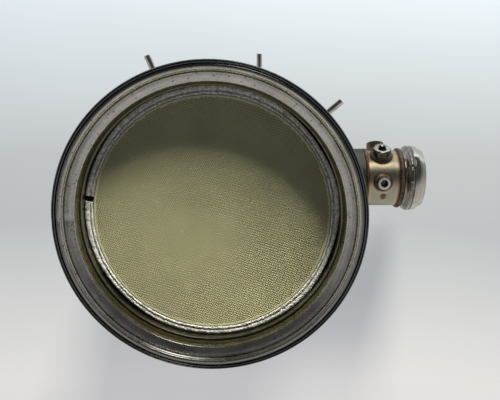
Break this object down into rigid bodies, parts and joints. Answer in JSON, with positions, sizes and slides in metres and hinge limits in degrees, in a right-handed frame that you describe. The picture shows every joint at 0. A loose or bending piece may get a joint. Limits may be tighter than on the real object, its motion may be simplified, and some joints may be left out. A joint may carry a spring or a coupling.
{
  "type": "diesel particulate filter",
  "caption": "Canned diesel particulate filter with a flared open inlet, an exposed ceramic block, locating pins, and a side outlet pipe with sensor bosses and a machined flange.",
  "frame": {"origin": "middle of the flat rear face of the end cap, on the filter's axis", "axes": "+Z along the filter's axis up to the open inlet, +X along the outlet pipe, +Y towards the three pins"},
  "size_m": [0.423, 0.3141, 0.355],
  "materials": {
    "block_ceramic": "matte, soot free, fine square cells",
    "mat_fibre": "matte, compressed mineral fibre",
    "pressed_steel": "satin, dulled by heat",
    "flange_steel": "satin, turned, small knocks and specks",
    "spout_steel": "dull, dark greenish",
    "pipe_steel": "satin, pale straw heat tint",
    "machined_steel": "bright, machined",
    "pin_steel": "bright, drawn rod",
    "boss_steel": "satin, browned by heat",
    "weld_metal": "rippled, copper brown heat tint"
  },
  "bodies": {
    "root": {"filter_substrate": "block_ceramic", "support_mat": "mat_fibre", "filter_shell": "pressed_steel", "shell_seam_weld": "weld_metal", "mat_retaining_ring": "pressed_steel", "inlet_flange": "flange_steel", "inlet_flange_weld": "weld_metal", "outlet_chamber": "pressed_steel", "chamber_weld": "weld_metal", "rear_end_cap": "pressed_steel", "end_cap_weld": "weld_metal", "outlet_spout": "spout_steel", "spout_saddle_weld": "weld_metal", "outlet_pipe": "pipe_steel", "spout_pipe_weld": "weld_metal", "outlet_flange": "machined_steel", "outlet_flange_weld": "weld_metal", "front_sensor_boss": "boss_steel", "front_boss_weld": "weld_metal", "rear_sensor_boss": "boss_steel", "rear_boss_weld": "weld_metal", "pressure_port_boss": "machined_steel", "port_boss_weld": "weld_metal", "locating_nib": "boss_steel", "left_pin": "pin_steel", "middle_pin": "pin_steel", "right_pin": "pin_steel"}
  },
  "joints": []
}
